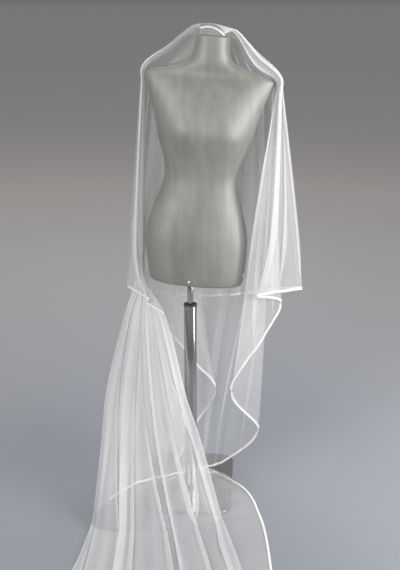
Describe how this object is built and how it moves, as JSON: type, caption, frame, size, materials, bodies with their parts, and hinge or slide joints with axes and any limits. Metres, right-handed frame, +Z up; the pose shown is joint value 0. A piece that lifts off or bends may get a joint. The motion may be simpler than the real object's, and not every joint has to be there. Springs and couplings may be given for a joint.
{
  "type": "bridal veil on dress form",
  "caption": "Two-tier tulle bridal veil with a satin ribbon edge, gathered to a comb and draped over a silver limbless dress form on a chromed stand, its train laid on the floor.",
  "frame": {"origin": "on the floor, at the base plate's flat underside under the stand's tube", "axes": "+Z up, +X to the viewer's right, and the viewer stands at -Y, where the train lies"},
  "size_m": [0.7507, 1.1377, 1.533],
  "materials": {
    "tulle": "soft sheer net",
    "satin_ribbon": "satin",
    "silver": "brushed silver lacquer, satin",
    "stud": "satin",
    "chrome": "polished",
    "dark_plastic": "satin",
    "pearl": "satin"
  },
  "bodies": {
    "root": {"torso": "silver", "stud_middle": "stud", "stud_side": "stud", "base_plate": "chrome", "stand_tube": "chrome", "stand_collar": "dark_plastic", "stand_rod": "chrome", "comb": "pearl", "cascade_left": "tulle", "upper_tier_left": "tulle", "upper_tier_back": "tulle", "upper_tier_right": "tulle", "cascade_right": "tulle", "lower_tier_back_top": "tulle", "lower_tier_back": "tulle", "lower_tier_front_top": "tulle", "lower_tier_front": "tulle", "flap_left": "tulle", "train": "tulle", "train_side": "tulle", "ribbon_cascade_left": "satin_ribbon", "ribbon_upper_left": "satin_ribbon", "ribbon_upper_back": "satin_ribbon", "ribbon_upper_right": "satin_ribbon", "ribbon_cascade_right": "satin_ribbon", "ribbon_lower_back": "satin_ribbon", "ribbon_flap_left": "satin_ribbon", "ribbon_train_end": "satin_ribbon", "ribbon_train_side": "satin_ribbon"}
  },
  "joints": []
}
